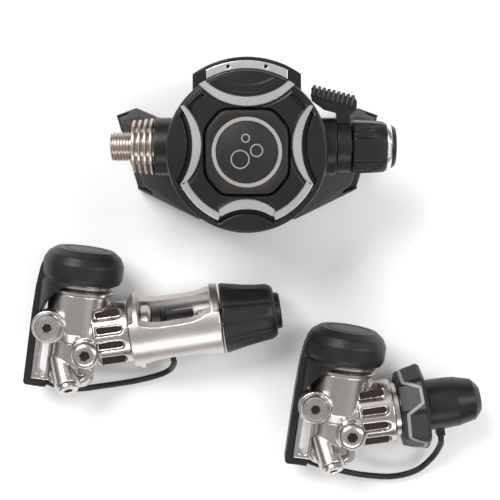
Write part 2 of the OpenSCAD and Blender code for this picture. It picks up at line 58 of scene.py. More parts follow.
def unit(pos, tilt, roll, turn):
    """The place of a first stage: where its centre is, its tilt, its roll and its turn."""
    return (
        Matrix.Translation(pos)
        @ Matrix.Rotation(math.radians(-turn), 4, "Z")
        @ Matrix.Rotation(math.radians(roll), 4, "Y")
        @ Matrix.Rotation(math.radians(tilt), 4, "X")
    )


YOKE = unit((-93.52, -36.41, 21.8), 6, 3.1, 8)
DIN = unit((43.68, -77.91, 22.06), 6, 1.3, 8)
INLET = Matrix.Rotation(math.radians(16), 4, "Z")  # the tank connection's turn on the body
BARREL = STAGE @ Matrix.Translation((0, 2, -23.5))  # the second stage's valve axis, along x
UNITS = {"yoke": YOKE, "din": DIN}

# camera straight above the set
cam_data = bpy.data.cameras.new("camera")
cam_data.lens = 79
cam_data.sensor_width = 36
cam = bpy.data.objects.new("camera", cam_data)
cam.location = (-0.00092, 0.01039, 0.6)
bpy.context.scene.collection.objects.link(cam)
bpy.context.scene.camera = cam
bpy.context.scene.render.resolution_x = 1000
bpy.context.scene.render.resolution_y = 1000


# ---- materials -------------------------------------------------------------------------
GLOSS_CHANGE = 0.06  # the roughness drifts this far each way
DARKER, LIGHTER = 0.9, 1.08  # and the colour between these shades


def material(name, color, metallic, rough, grain=0.15, grain_scale=900, streak=(1, 1, 1)):
    """A finish with fine surface grain and a broad, faint change of shade and gloss."""
    m = bpy.data.materials.new(name)
    m.use_nodes = True
    nt = m.node_tree
    b = nt.nodes["Principled BSDF"]
    b.inputs["Metallic"].default_value = metallic
    b.inputs["Specular IOR Level"].default_value = 0.5 if metallic else 0.36
    tc = nt.nodes.new("ShaderNodeTexCoord")
    mp = nt.nodes.new("ShaderNodeMapping")
    mp.inputs["Scale"].default_value = streak
    nt.links.new(tc.outputs["Object"], mp.inputs["Vector"])
    fine = nt.nodes.new("ShaderNodeTexNoise")
    fine.inputs["Scale"].default_value = grain_scale
    fine.inputs["Detail"].default_value = 6
    nt.links.new(mp.outputs["Vector"], fine.inputs["Vector"])
    broad = nt.nodes.new("ShaderNodeTexNoise")
    broad.inputs["Scale"].default_value = 45
    broad.inputs["Detail"].default_value = 5
    nt.links.new(tc.outputs["Object"], broad.inputs["Vector"])
    ramp = nt.nodes.new("ShaderNodeMapRange")
    ramp.inputs["To Min"].default_value = rough - GLOSS_CHANGE
    ramp.inputs["To Max"].default_value = rough + GLOSS_CHANGE
    nt.links.new(broad.outputs["Fac"], ramp.inputs["Value"])
    nt.links.new(ramp.outputs["Result"], b.inputs["Roughness"])
    mix = nt.nodes.new("ShaderNodeMix")
    mix.data_type = "RGBA"
    mix.inputs[6].default_value = (*[c * DARKER for c in color], 1)
    mix.inputs[7].default_value = (*[c * LIGHTER for c in color], 1)
    nt.links.new(broad.outputs["Fac"], mix.inputs["Factor"])
    nt.links.new(mix.outputs[2], b.inputs["Base Color"])
    bump = nt.nodes.new("ShaderNodeBump")
    bump.inputs["Strength"].default_value = grain
    bump.inputs["Distance"].default_value = 0.0001
    nt.links.new(fine.outputs["Fac"], bump.inputs["Height"])
    nt.links.new(bump.outputs["Normal"], b.inputs["Normal"])
    return m


MATS = {
    "black_plastic": material("black_plastic", (0.009, 0.0088, 0.0094), 0, 0.36, 0.2, 1400),
    "button_plastic": material("button_plastic", (0.0125, 0.012, 0.0127), 0, 0.5, 0.5, 1800),
    "knob_rubber": material("knob_rubber", (0.0095, 0.0092, 0.0096), 0, 0.42, 0.2, 1100),
    "rib_plastic": material("rib_plastic", (0.045, 0.045, 0.048), 0, 0.5, 0.2, 1100),
    "bright_trim": material("bright_trim", (0.86, 0.85, 0.84), 1, 0.28, 0.25, 700,
                            streak=(1, 14, 1)),
    "badge_metal": material("badge_metal", (0.47, 0.43, 0.4), 0.75, 0.45, 0.2, 1500),
    "steel": material("steel", (0.5, 0.5, 0.5), 1, 0.3, 0.1),
    "silicone": material("silicone", (0.03, 0.03, 0.032), 0, 0.5, 0.25, 1000),
    "tee_plastic": material("tee_plastic", (0.035, 0.035, 0.037), 0, 0.5, 0.3, 1100),
    "clip_nylon": material("clip_nylon", (0.03, 0.03, 0.03), 0, 0.4, 0.2),
    "satin_brass": material("satin_brass", (0.56, 0.5, 0.44), 1, 0.32, 0.15, 1300),
    "satin_chrome": material("satin_chrome", (0.6, 0.565, 0.545), 1, 0.27, 0.12, 1500),
    "yoke_metal": material("yoke_metal", (0.62, 0.575, 0.55), 1, 0.36, 0.15, 1500),
    "boot_rubber": material("boot_rubber", (0.011, 0.0107, 0.0112), 0, 0.42, 0.2, 1100),
    "cap_rubber": material("cap_rubber", (0.0095, 0.0092, 0.0096), 0, 0.38, 0.15, 1100),
    "wheel_rubber": material("wheel_rubber", (0.011, 0.0107, 0.0112), 0, 0.42, 0.2, 1100),
    "wheel_band": material("wheel_band", (0.27, 0.27, 0.27), 0.2, 0.5, 0.2, 1400),
    # painted shade: a dark brown-grey metal laid deep in the gaps between the fin discs, on the
    # socket floors and in the neck flutes
    "shade_painted_metal": material("shade_painted_metal", (0.045, 0.03, 0.023), 0.6, 0.45, 0.1),
}
slots = {s["node"]: s["material_slot"] for s in frame["record"]["subparts"]}
body_of = {node: body for body, members in frame["record"]["behaviour"]["bodies"].items()
           for node in members}


def dress(obj, slot, body, smooth=True, angle=None):
    """Gives a piece its finish and its body; edges sharper than the angle stay crisp."""
    obj.data.materials.clear()
    obj.data.materials.append(MATS[slot])
    if smooth:
        for p in obj.data.polygons:
            p.use_smooth = True
        if angle:
            obj.data.set_sharp_from_angle(angle=math.radians(angle))
    if body:
        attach(obj, body)
    return obj


# ---- shapes ----------------------------------------------------------------------------
def mesh_object(name, verts, faces, matrix):
    """A mesh from points in millimetres, placed by the matrix."""
    me = bpy.data.meshes.new(name)
    me.from_pydata([tuple((matrix @ Vector(v)) * MM) for v in verts], [], faces)
    me.validate()
    bm = bmesh.new()
    bm.from_mesh(me)
    bmesh.ops.remove_doubles(bm, verts=bm.verts, dist=1e-7)
    bmesh.ops.recalc_face_normals(bm, faces=bm.faces)
    bm.to_mesh(me)
    bm.free()
    o = bpy.data.objects.new(name, me)
    bpy.context.scene.collection.objects.link(o)
    return o


def turn(n):
    """The angles of n even steps round a circle."""
    return [2 * math.pi * k / n for k in range(n)]


def around_x(x, r, angles):
    """A ring of points about x."""
    return [(x, r * math.cos(a), r * math.sin(a)) for a in angles]


def around_z(r, z, angles):
    """A ring of points about z."""
    return [(r * math.cos(a), r * math.sin(a), z) for a in angles]


def loft(rings, closed_ends=True):
    """Closed rings of equal length joined into a skin."""
    n = len(rings[0])
    verts = [p for r in rings for p in r]
    faces = []
    for i in range(len(rings) - 1):
        for k in range(n):
            a, b = i * n + k, i * n + (k + 1) % n
            faces.append((a, b, b + n, a + n))
    if closed_ends:
        faces.append(tuple(range(n))[::-1])
        faces.append(tuple(range((len(rings) - 1) * n, len(rings) * n)))
    return verts, faces


def lathe_x(name, profile, matrix, n=96):
    """A solid turned about x from a profile of (x, r) points."""
    v, f = loft([around_x(x, r, turn(n)) for x, r in profile])
    return mesh_object(name, v, f, matrix)


def ring_x(name, profile, matrix, n=96, wave=None):
    """A closed section of (x, r) points turned about x; wave(a, x) scales the radius."""
    m = len(profile)
    verts, faces = [], []
    for a in turn(n):
        for x, r in profile:
            rr = r * (wave(a, x) if wave else 1)
            verts.append((x, rr * math.cos(a), rr * math.sin(a)))
    for k in range(n):
        for i in range(m):
            a, b = k * m + i, k * m + (i + 1) % m
            c, d = ((k + 1) % n) * m + (i + 1) % m, ((k + 1) % n) * m + i
            faces.append((a, b, c, d))
    return mesh_object(name, verts, faces, matrix)


TO_Y = Matrix.Rotation(math.radians(90), 4, "Z")  # x becomes y
TO_Z = Matrix.Rotation(math.radians(-90), 4, "Y")  # x becomes z


def soften(node, voxel, passes):
    """The node's shape as a cast or moulded piece: its edges and inner corners rounded."""
    src = nodes[node]
    o = bpy.data.objects.new(node + "_form", src.data.copy())
    bpy.context.scene.collection.objects.link(o)
    r = o.modifiers.new("voxels", "REMESH")
    r.mode = "VOXEL"
    r.voxel_size = voxel * MM
    s = o.modifiers.new("round", "SMOOTH")
    s.factor = 0.5
    s.iterations = passes
    dg = bpy.context.evaluated_depsgraph_get()
    me = bpy.data.meshes.new_from_object(o.evaluated_get(dg))
    o.modifiers.clear()
    o.data = me
    dress(o, slots[node], body_of.get(node))
    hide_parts(node)
    return o


# ---- tethers ---------------------------------------------------------------------------
def smooth_line(p, per):
    """A smooth curve through the points, with this many steps between each two."""
    p = [np.array(q, float) for q in p]
    out = []
    for i in range(len(p) - 1):
        a, b, c, d = p[max(i - 1, 0)], p[i], p[i + 1], p[min(i + 2, len(p) - 1)]
        for j in range(per):
            t = j / per
            out.append(0.5 * (2 * b + (c - a) * t + (2 * a - 5 * b + 4 * c - d) * t * t
                              + (3 * b - a - 3 * c + d) * t ** 3))
    out.append(p[-1])
    return out


TETHER_R = 1.6
# each runs from the foot of the boot to the dust cap, and sags on the way
TETHERS = {
    "yoke": ([(-11, -24.95, 0), (-10.2, -25.02, -0.05), (-8.2, -25.85, -1.1), (-3, -27.5, -3.6),
              (6, -28, -7.4), (18, -25.8, -11.8), (34, -21.4, -13.6), (46, -16.4, -12.8),
              (52, -11.6, -9), (53.7, -6.6, -2.8), (53.02, -3.5, -0.06), (52.57, -1.97, 0)],
             "yoke_stage", "inlet_cap"),
    "din": ([(-11, -24.95, 0), (-10.2, -25.02, -0.05), (-8.2, -25.85, -1.1), (-3, -27.6, -3.6),
             (7, -30, -7.6), (22, -32, -11.8), (38, -31.2, -13.8), (50, -26, -13.6),
             (56.6, -17, -10.6), (58.2, -8, -3.6), (57.36, -3.42, -0.06), (56.91, -1.84, 0)],
            "din_stage", "thread_cap"),
}
for key, (pts, a, b) in TETHERS.items():
    line = smooth_line(pts, 12)
    rings = []
    for i, p in enumerate(line):
        t = line[min(i + 1, len(line) - 1)] - line[max(i - 1, 0)]
        t = t / np.linalg.norm(t)
        u = np.cross(t, (0, 0, 1))
        u = u / np.linalg.norm(u)
        w = np.cross(t, u)
        rings.append([tuple(p + TETHER_R * (math.cos(q) * u + math.sin(q) * w))
                      for q in turn(16)])
    v, f = loft(rings)
    o = mesh_object(key + "_tether_cord", v, f, UNITS[key])
    dress(o, "cap_rubber", None)
    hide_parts(key + "_tether")
    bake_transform(o)


# ---- second stage: the cover and its bright trim ---------------------------------------
HALF_WIDE, HALF_HIGH, HALF_DIAGONAL = 19.7, 20.0, 22.1  # of the purge button
DIAGONAL_X, DIAGONAL_Y = 0.7593, 0.6508  # the way that its corner flats face
CORNER = 22  # the higher, the sharper its corners
TINY = 1e-6


def octagon_radius(a):
    """How far the purge button's rounded outline is from its centre at that angle."""
    c, s = abs(math.cos(a)), abs(math.sin(a))
    flat_x = HALF_WIDE / max(c, TINY)
    flat_y = HALF_HIGH / max(s, TINY)
    diag = HALF_DIAGONAL / max(DIAGONAL_X * c + DIAGONAL_Y * s, TINY)
    return (flat_x ** -CORNER + flat_y ** -CORNER + diag ** -CORNER) ** (-1 / CORNER)


DEGREES = turn(360)


def octagon_ring(inset, z):
    """The button's outline, this far inside it."""
    ring = []
    for a in DEGREES:
        r = octagon_radius(a) - inset
        ring.append((r * math.cos(a), r * math.sin(a), z))
    return ring


# the two edges of each bright arc: centre and radius of the inner one, then of the outer one
TOP_ARC = ((0, 51.4), 29.8, (0, 56.25), 29.95)
LEFT_ARC = ((-47.2, 3.5), 25.7, (-59.4, 3.5), 33.4)
RIGHT_ARC = ((47.2, 3.5), 25.7, (59.4, 3.5), 33.4)
LOW_ARC = ((0, -42.7), 20.5, (0, -49.8), 22.8)
ARCS = (TOP_ARC, LEFT_ARC, RIGHT_ARC, LOW_ARC)
BANDS = []


def arc_band(arc, start, end):
    """A bright band between the arc's edges; start and end hold one angle for each edge."""
    ci, ri, co, ro = arc
    inner, outer = [], []
    for i in range(61):
        t = i / 60
        ang = math.radians(start[0] + (end[0] - start[0]) * t)
        inner.append((ci[0] + ri * math.cos(ang), ci[1] + ri * math.sin(ang)))
        ang = math.radians(start[1] + (end[1] - start[1]) * t)
        outer.append((co[0] + ro * math.cos(ang), co[1] + ro * math.sin(ang)))
    BANDS.append((inner, outer))


arc_band(TOP_ARC, (220.9, 229.1), (319.1, 310.9))
arc_band(LEFT_ARC, (-46.5, -34.0), (47.0, 32.8))
arc_band(RIGHT_ARC, (226.5, 214.0), (133.0, 147.2))
arc_band(LOW_ARC, (131, 122.6), (49, 57.4))
# two more at the lower corners, along the rim
CORNER_IN, CORNER_OUT = 31.4, 35.0
for side in (-1, 1):
    inner, outer = [], []
    for i in range(41):
        ang = math.radians(205.5 + 41.5 * i / 40)
        inner.append((side * -CORNER_IN * math.cos(ang), CORNER_IN * math.sin(ang)))
        outer.append((side * -CORNER_OUT * math.cos(ang), CORNER_OUT * math.sin(ang)))
    BANDS.append((inner, outer))
BAND_FOOT, BAND_TOP, BAND_BEVEL = -1.5, 0.5, 0.35


def band_piece(i, inner, outer):
    """A raised strip with bevelled edges between two lines of points."""
    rings = []
    shoulder = BAND_TOP - BAND_BEVEL
    for p, q in zip(inner, outer):
        p, q = np.array(p), np.array(q)
        step = (q - p) / np.linalg.norm(q - p) * BAND_BEVEL
        section = [(p, BAND_FOOT), (p, shoulder), (p + step, BAND_TOP),
                   (q - step, BAND_TOP), (q, shoulder), (q, BAND_FOOT)]
        rings.append([(xy[0], xy[1], z) for xy, z in section])
    v, f = loft(rings)
    return mesh_object(f"cover_trim_{i}", v, f, STAGE)


for i, (inner, outer) in enumerate(BANDS):
    o = band_piece(i, inner, outer)
    dress(o, "bright_trim", "second_stage", angle=35)
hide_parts("cover_trim")


def smooth_step(e0, e1, x):
    """Rises smoothly from 0 at e0 to 1 at e1."""
    t = min(max((x - e0) / (e1 - e0), 0), 1)
    return t * t * (3 - 2 * t)


def within(arc, x, y):
    """How far the point is inside the arc's outer circle."""
    return arc[3] - math.hypot(x - arc[2][0], y - arc[2][1])


def beyond(arc, x, y):
    """How far the point is outside the arc's inner circle, on the button's side."""
    return math.hypot(x - arc[0][0], y - arc[0][1]) - arc[1]


CROWN_FROM, CROWN_FALL = 22, 0.0011  # the cover falls away towards its rim
GROOVE_DEPTH, PAD_RISE, SLOT_DEPTH = 2.0, 0.75, 1.8
SLOT_AT, SLOT_HALF_LONG, SLOT_BEND = 34.0, 3.6, 70


def cover_height(x, y, r):
    """The cover's height over its plane at a point that is r from the middle."""
    z = -0.9 - CROWN_FALL * max(r - CROWN_FROM, 0) ** 2
    # outside an arc: a raised lobe at the top, and a groove before it at the other three
    top = within(TOP_ARC, x, y)
    d = max(top, *(within(arc, x, y) for arc in ARCS[1:]))
    if d > 0 and d == top:
        z += 0.55 * smooth_step(0.5, 2.6, d) - 0.25 * smooth_step(5.0, 5.6, d)
    elif d > 0:
        z += 0.5 * smooth_step(2.1, 2.7, d) - GROOVE_DEPTH * smooth_step(0.15, 0.4, d) * (
            1 - smooth_step(1.9, 2.3, d)) * (1 - smooth_step(35.6, 36.2, r))
    # between the arcs and the button: a raised pad
    d = min(beyond(arc, x, y) for arc in ARCS)
    if d > 0:
        z += PAD_RISE * smooth_step(0.4, 1.6, d) * (1 - smooth_step(35.4, 36.6, r))
    # a curved slot at each upper corner
    for ang in (45, 135):
        ca, sa = math.cos(math.radians(ang)), math.sin(math.radians(ang))
        u, v = x * ca + y * sa, -x * sa + y * ca
        if u > 0:
            q = math.hypot(u + v * v / SLOT_BEND - SLOT_AT, max(abs(v) - SLOT_HALF_LONG, 0))
            z -= SLOT_DEPTH * (1 - smooth_step(0.7, 1.1, q))
    return z


# the cover: rays from the gap round the button to the rim, then the rim and the underside
BUTTON_GAP, GAP_BEVEL, FACE_R = 0.95, 0.25, 37.3
RAY_STEPS = 110
rings = [octagon_ring(-BUTTON_GAP, -5.5), octagon_ring(-BUTTON_GAP, -1.6)]
for i in range(RAY_STEPS + 1):
    t = i / RAY_STEPS
    ring = []
    for a in DEGREES:
        r0 = octagon_radius(a) + BUTTON_GAP + GAP_BEVEL
        r = r0 + (FACE_R - r0) * t
        x, y = r * math.cos(a), r * math.sin(a)
        ring.append((x, y, cover_height(x, y, r)))
    rings.append(ring)
for r, z in ((38.1, -1.7), (38.6, -2.4), (38.8, -3.4), (38.8, -6.2), (38.5, -6.9), (37.0, -7.1),
             (34.4, -7.2), (34.4, -11.4), (29.6, -11.4), (29.6, -8.0), (21, -8.0)):
    rings.append(around_z(r, z, DEGREES))
v, f = loft(rings, closed_ends=False)
o = mesh_object("cover_form", v, f, STAGE)
dress(o, "black_plastic", "second_stage", angle=60)
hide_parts("stage_cover")

# ---- second stage: button, case and mouthpiece -----------------------------------------
# the purge button, with a soft edge and a recess for the badge
rings = [octagon_ring(0.2, -3.2), octagon_ring(0.0, -2.6), octagon_ring(0, -0.9),
         octagon_ring(0.12, -0.35), octagon_ring(0.4, 0.0), octagon_ring(0.9, 0.22),
         octagon_ring(1.6, 0.3)]
for r, z in ((17.3, 0.32), (17.05, 0.2), (16.9, -0.4), (0.01, -0.4)):
    rings.append(around_z(r, z, DEGREES))
v, f = loft(rings)
o = mesh_object("purge_form", v, f, STAGE)
dress(o, "button_plastic", "purge", angle=50)
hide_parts("purge_button")
# the badge: a ring, a plate and a plain sign of three rings
o = ring_x("badge_ring", [(-0.4, 14.8), (-0.4, 16.75), (0.55, 16.75), (0.8, 16.45), (0.8, 15.1),
                          (0.55, 14.8)], STAGE @ TO_Z, 128)
dress(o, "badge_metal", "purge", angle=35)
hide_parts("purge_badge")
o = lathe_x("badge_plate", [(-0.4, 14.9), (0.0, 14.9), (0.15, 14.6), (0.16, 0.001)],
            STAGE @ TO_Z)
dress(o, "button_plastic", "purge", angle=35)
for i, (x, y, r) in enumerate(((-3.2, -3.4, 4.6), (4.6, 0.8, 3.2), (-0.6, 6.6, 2.2))):
    o = ring_x(f"badge_bubble_{i}", [(0.1, r - 0.75), (0.1, r), (0.45, r - 0.1), (0.45, r - 0.65)],
               STAGE @ Matrix.Translation((x, y, 0)) @ TO_Z, 64)
    dress(o, "badge_metal", "purge", angle=35)

# the moulded pieces, and six ridges on each arm of the tee
soften("stage_case", 0.45, 5)
soften("exhaust_tee", 0.5, 5)
RIDGE = [(-0.6, -0.8), (0.6, -0.8), (0.4, 0.9), (-0.4, 0.9)]
for side in (-1, 1):
    for k in range(6):
        x, y = side * (38 + 2.4 * k), -27.6 + 0.67 * k
        m = (STAGE @ Matrix.Translation((x, y, -68))
             @ Matrix.Rotation(math.radians(side * 16), 4, "Z"))
        v, f = loft([[(px, py, z) for px, py in RIDGE] for z in (-5, 4.5)])
        dress(mesh_object(f"tee_ridge_{side}_{k}", v, f, m), "tee_plastic", "second_stage")
soften("mouthpiece", 0.45, 12)
soften("mouthpiece_clip", 0.3, 4)
soften("venturi_lever", 0.22, 2)
# nine rounded ribs along the lever's grip
for k in range(9):
    m = (STAGE @ Matrix.Translation((32.5 + 2.36 * k, 31.4 - 0.6 * k, -18.4))
         @ Matrix.Rotation(math.radians(-13.6), 4, "Z"))
    rings = []
    for y, r in ((-4.9, 0.2), (-4.6, 0.55), (-4.0, 0.68), (0.2, 0.68), (0.6, 0.5), (0.8, 0.15)):
        rings.append([(0.65 + r * math.cos(a), y, -0.3 + r * math.sin(a)) for a in turn(16)])
    v, f = loft(rings)
    dress(mesh_object(f"lever_rib_{k}", v, f, m), "rib_plastic", "venturi")
soften("name_plate", 0.18, 3)

# ---- second stage: along the valve axis ------------------------------------------------
# the hose inlet has a real thread of 18 turns to the inch
PITCH = 25.4 / 18
CREST_R, THREAD_DEPTH, LEAD_IN = 7.12, 0.86, 0.7
THREAD_FROM, THREAD_TO = -67.0, -56.2
STEPS = 96  # round the thread, and along it
rings = []
for i in range(STEPS + 1):
    x = THREAD_FROM + (THREAD_TO - THREAD_FROM) * i / STEPS
    fade = smooth_step(0.0, 1.2, x - THREAD_FROM)
    ring = []
    for k, a in enumerate(turn(STEPS)):
        phase = (x / PITCH - k / STEPS) % 1
        ridge = 1 - abs(2 * phase - 1)
        depth = THREAD_DEPTH * (1 - smooth_step(0.18, 0.82, ridge))
        r = CREST_R - depth - LEAD_IN * (1 - fade)
        ring.append((x, r * math.cos(a), r * math.sin(a)))
    rings.append(ring)
# then its shank, and back through the bore
for x, r in ((THREAD_TO, 6.5), (-45.4, 6.5), (-45.4, 2.6), (-56, 2.6), (-56, 4.0),
             (THREAD_FROM + 0.5, 4.0), (THREAD_FROM, 4.5)):
    rings.append(around_x(x, r, turn(STEPS)))
rings.append(rings[0])
v, f = loft(rings, closed_ends=False)
o = mesh_object("hose_thread", v, f, BARREL)
dress(o, "satin_brass", "second_stage", angle=40)
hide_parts("hose_inlet")
o = lathe_x("inlet_inner", [(-45.3, 0.01), (-45.3, 4.6), (-20.1, 4.6), (-20.1, 0.01)], BARREL, 48)
dress(o, "satin_brass", "second_stage", angle=40)

# the heat sink: four fins on a sleeve
SLEEVE_R, BEVEL = 8.85, 0.3
profile = [(-56.1, 6.7), (-56.1, 8.6), (-55.9, SLEEVE_R)]
for k, r in enumerate((12.9, 13.1, 13.55, 13.85)):
    x = -55.95 + 2.9 * k
    profile += [(x, SLEEVE_R), (x, r - BEVEL), (x + 0.3, r), (x + 1.0, r),
                (x + 1.3, r - BEVEL), (x + 1.3, SLEEVE_R)]
profile += [(-43.2, SLEEVE_R), (-43.2, 6.7)]
o = ring_x("heat_sink_form", profile, BARREL, 128)
dress(o, "satin_brass", "second_stage", angle=35)
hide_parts("heat_sink")


def facets(a, n, centre, flat):
    """Scale of the radius for n flats; flat is a flat's distance from the axis over the radius."""
    step = 2 * math.pi / n
    q = abs((a - math.radians(centre) + step / 2) % step - step / 2)
    return min(1.0, flat / math.cos(q))


KNOB_TURN, SCOOP_TURN = 97, 142  # where the knob's first flat and first scoops lie
SCOOP_DEPTH, SCOOP_WIDTH = 0.1, 4.6


def knob_wave(a, x):
    """The resistance knob: four broad flats, and three scoops between each two."""
    w = facets(a, 4, KNOB_TURN, 0.93)
    t = smooth_step(52.6, 53.4, x) * (1 - smooth_step(57.5, 64.5, x))
    for c in (-15, 0, 15):
        q = (math.degrees(a) - SCOOP_TURN - c + 45) % 90 - 45
        w -= SCOOP_DEPTH * t * math.exp(-(q / SCOOP_WIDTH) ** 2)
    return w


def knob_ring_wave(a, x):
    return facets(a, 4, KNOB_TURN, 0.94)


o = ring_x("knob_form", [(51.6, 7.2), (51.6, 12.8), (52.0, 13.3), (52.6, 13.6), (53.4, 13.6),
                         (54.4, 13.5), (56, 13.5), (58, 13.4), (60, 13.3), (62, 13.2), (64, 13.1),
                         (66, 12.95), (67.6, 12.6), (68.2, 12.1), (68.3, 8.2), (60, 7.2)],
           BARREL, 288, knob_wave)
dress(o, "knob_rubber", "resistance_knob", angle=45)
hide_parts("adjust_knob")
o = ring_x("knob_ring_form", [(68.3, 8.3), (68.3, 11.9), (68.7, 12.1), (70.1, 11.6), (70.5, 11.2),
                              (70.5, 8.3)], BARREL, 192, knob_ring_wave)
dress(o, "bright_trim", "resistance_knob", angle=35)
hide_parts("knob_ring")
o = lathe_x("knob_cap_form", [(68.3, 0.001), (68.3, 8.1), (70.5, 8.1), (70.5, 10.4), (71, 10.6),
                              (72.4, 9.9), (73.0, 9.0), (73.2, 7.0), (73.2, 4.0), (72.8, 3.6),
                              (72.8, 0.001)], BARREL)
dress(o, "black_plastic", "resistance_knob", angle=40)
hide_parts("knob_cap")

# ---- first stages ----------------------------------------------------------------------
LOW_A_AT, LOW_B_AT = (8.1, -4.1, 16.8), (-5.2, -9.8, 4)
SLANT = (Matrix.Translation(LOW_B_AT) @ Matrix.Rotation(math.radians(26), 4, "Z")
         @ Matrix.Rotation(math.radians(56), 4, "X"))
LOW_B_OUT = Matrix.Translation((0, 0, 17.1))  # along its slanted axis
SOCKET_BEVEL, FLOOR_GAP = 0.25, 0.03


def socket_plug(name, outline, across, depth, matrix, body):
    """A turned plug about z with a six-sided socket sunk in its face, and a dark sheet of painted
    shade on the socket's floor. outline is (z, r) points.
    """

    def hex_ring(grow, z, angles):
        ring = []
        for a in angles:
            q = (a % (math.pi / 3)) - math.pi / 6
            r = across / 2 * math.cos(math.pi / 6) / math.cos(q) + grow
            ring.append((r * math.cos(a), r * math.sin(a), z))
        return ring

    rings = [around_z(r, z, turn(96)) for z, r in outline]
    top = outline[-1][0]
    rings += [hex_ring(SOCKET_BEVEL, top, turn(96)), hex_ring(0.0, top - SOCKET_BEVEL, turn(96)),
              hex_ring(0.0, top - depth, turn(96))]
    v, f = loft(rings)
    o = mesh_object(name, v, f, matrix)
    dress(o, "satin_chrome", body, angle=32)
    # a dark sheet just above the socket's floor: painted shade
    sunk = hex_ring(-FLOOR_GAP, top - depth + FLOOR_GAP, turn(24))
    d = mesh_object(name + "_socket", sunk, [tuple(range(24))], matrix)
    dress(d, "shade_painted_metal", body, smooth=False)
    return o


HIGH_PLUG = [(-5, 4.4), (0, 4.4), (0, 6.9), (0.35, 7.3), (2.5, 7.3), (3.2, 7.0), (3.6, 6.5),
             (3.6, 6.2), (3.2, 6.0), (3.2, 5.4), (3.6, 5.2), (3.55, 3.8)]
LOW_PLUG_A = [(-5, 4.4), (0, 4.4), (0, 6.9), (0.3, 7.2), (1.4, 7.2), (2.4, 6.7), (3.2, 5.8),
              (3.75, 4.6), (3.85, 3.6)]
LOW_PLUG_B = [(-5, 3.3), (0, 3.3), (0, 5.1), (0.3, 5.4), (1.9, 5.4), (2.5, 5.0), (2.6, 4.2)]
FINS = [(25.4, 12.5), (25.4, 16.9), (25.8, 17.3), (26.9, 17.3), (27.3, 16.9), (27.3, 15.2),
        (28.8, 15.2), (28.8, 16.9), (29.2, 17.3), (30.3, 17.3), (30.7, 16.9), (31.0, 17.2),
        (45, 17.2), (45, 12.5)]
SHADED_FIN_GAPS = ((27.35, 1.4), (30.72, 0.25))  # where the painted shade in each gap between the discs starts, and how wide it is
REAR_PLUGS = ((-8, 12, -16.1, 6), (8, 12, -16.1, 6), (0, -10, -14.1, 5))  # place and height

for key, M in UNITS.items():
    b = key + "_stage"
    soften(key + "_body", 0.42, 5)
    soften(key + "_boot", 0.45, 7)
    # two discs between the boot and the body
    o = ring_x(key + "_fin_form", FINS, M @ TO_Y, 128)
    dress(o, "satin_chrome", b, angle=35)
    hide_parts(key + "_fins")
    # a dark ring on the floor of each gap between the discs: painted shade
    for i, (y, wide) in enumerate(SHADED_FIN_GAPS):
        g = ring_x(f"{key}_fin_gap_shade_{i}", [(y, 15.0), (y, 15.35), (y + wide, 15.35),
                                          (y + wide, 15.0)], M @ TO_Y)
        dress(g, "shade_painted_metal", b, angle=35)
    o = socket_plug(key + "_high_plug_form", HIGH_PLUG, 4.9, 2.6,
                    M @ Matrix.Translation((-12.6, 7.5, 16.5)), b)
    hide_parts(key + "_high_plug")
    o = socket_plug(key + "_low_plug_a_form", LOW_PLUG_A, 5.4, 2.6,
                    M @ Matrix.Translation(LOW_A_AT), b)
    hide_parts(key + "_low_plug_a")
    o = socket_plug(key + "_low_plug_b_form", LOW_PLUG_B, 4.8, 2.0, M @ SLANT @ LOW_B_OUT, b)
    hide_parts(key + "_low_plug_b")
    for i, (x, y, z, h) in enumerate(REAR_PLUGS):
        outline = [(-5, 4.1), (0, 4.1), (0, 6.3), (0.3, 6.6), (h - 1, 6.6), (h - 0.3, 6.1),
                   (h, 5.4)]
        o = socket_plug(f"{key}_rear_plug_{i}", outline, 5, 2.6,
                        M @ Matrix.Translation((x, y, z)) @ Matrix.Rotation(math.pi, 4, "X"), b)
    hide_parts(key + "_rear_plugs")

# the flutes of each neck get a dark sheet on their floors: painted shade
NECK_R, FLUTE_DEPTH, FLUTE_R = 16.6, 2.8, 2.3
FLUTE_FROM, FLUTE_TO = 13.6, 25
for key, M in UNITS.items():
    for i, y in enumerate((-12, -3.6, 4.4, 12)):
        z = math.sqrt(NECK_R ** 2 - y ** 2) - FLUTE_DEPTH + 0.05
        pts = [(FLUTE_FROM, y - FLUTE_R, z)]
        for k in range(13):
            a = math.pi * k / 12
            pts.append((FLUTE_TO + FLUTE_R * math.sin(a), y - FLUTE_R * math.cos(a), z))
        pts.append((FLUTE_FROM, y + FLUTE_R, z))
        o = mesh_object(f"{key}_flute_{i}", pts, [tuple(range(len(pts)))], M @ INLET)
        dress(o, "shade_painted_metal", key + "_stage", smooth=False)

# ---- the yoke and the DIN connector, each along its tank connection --------------------
YI, DI = YOKE @ INLET, DIN @ INLET
o = ring_x("retainer_form", [(24.5, 3.3), (24.5, 8), (36.6, 8), (36.6, 12.1), (37, 12.5),
                             (40.2, 12.5), (41.2, 11.6), (42, 10.5), (42, 3.8), (41.5, 3.3)], YI)
dress(o, "satin_chrome", "yoke_stage", angle=35)
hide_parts("yoke_retainer")
soften("yoke_clamp", 0.38, 9)
o = lathe_x("clamp_screw_form", [(64.4, 0.001), (64.4, 3.2), (64.7, 3.6), (66.6, 5.8), (67.2, 6),
                                 (90, 6), (90.7, 5.4), (90.8, 0.001)], YI)
dress(o, "satin_chrome", "clamp_screw", angle=35)
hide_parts("yoke_screw")


def knob_dimples(a, x):
    """Six wide shallow hollows round a tapering knob."""
    q = abs((math.degrees(a) + 30) % 60 - 30) / 30
    t = smooth_step(82, 90, x) * (1 - smooth_step(98, 105, x))
    hollow = 0.045 * (1 - smooth_step(0.55, 0.95, q)) * t
    crease = 0.02 * smooth_step(0.8, 1, 1 - q)
    return 1 - hollow - crease


